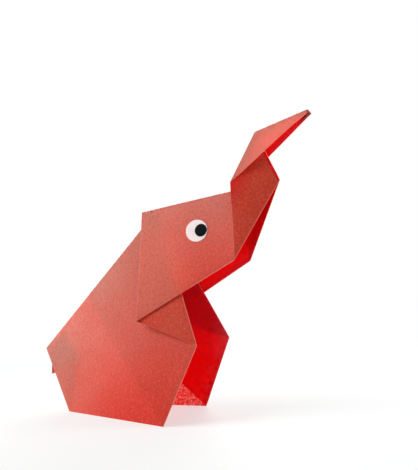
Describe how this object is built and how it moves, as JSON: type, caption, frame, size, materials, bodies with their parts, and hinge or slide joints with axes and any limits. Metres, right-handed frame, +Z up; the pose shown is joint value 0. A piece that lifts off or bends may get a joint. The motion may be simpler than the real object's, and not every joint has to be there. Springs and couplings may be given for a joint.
{
  "type": "origami elephant",
  "caption": "Folded paper elephant that stands on its lower edges, with a tent-like body, a crimped neck, a raised trunk, a small tail and round eyes glued to the head.",
  "frame": {"origin": "middle of the elephant's length, on the ground and on its middle plane", "axes": "+X towards the trunk, +Y to the elephant's left, +Z up"},
  "size_m": [0.1134, 0.0324, 0.1028],
  "materials": {
    "sheet": "matte",
    "eye_white": "matte",
    "pupil": "matte"
  },
  "bodies": {
    "root": {"folded_sheet": "sheet", "right_eye_white": "eye_white", "right_eye_pupil": "pupil", "left_eye_white": "eye_white", "left_eye_pupil": "pupil"}
  },
  "joints": []
}
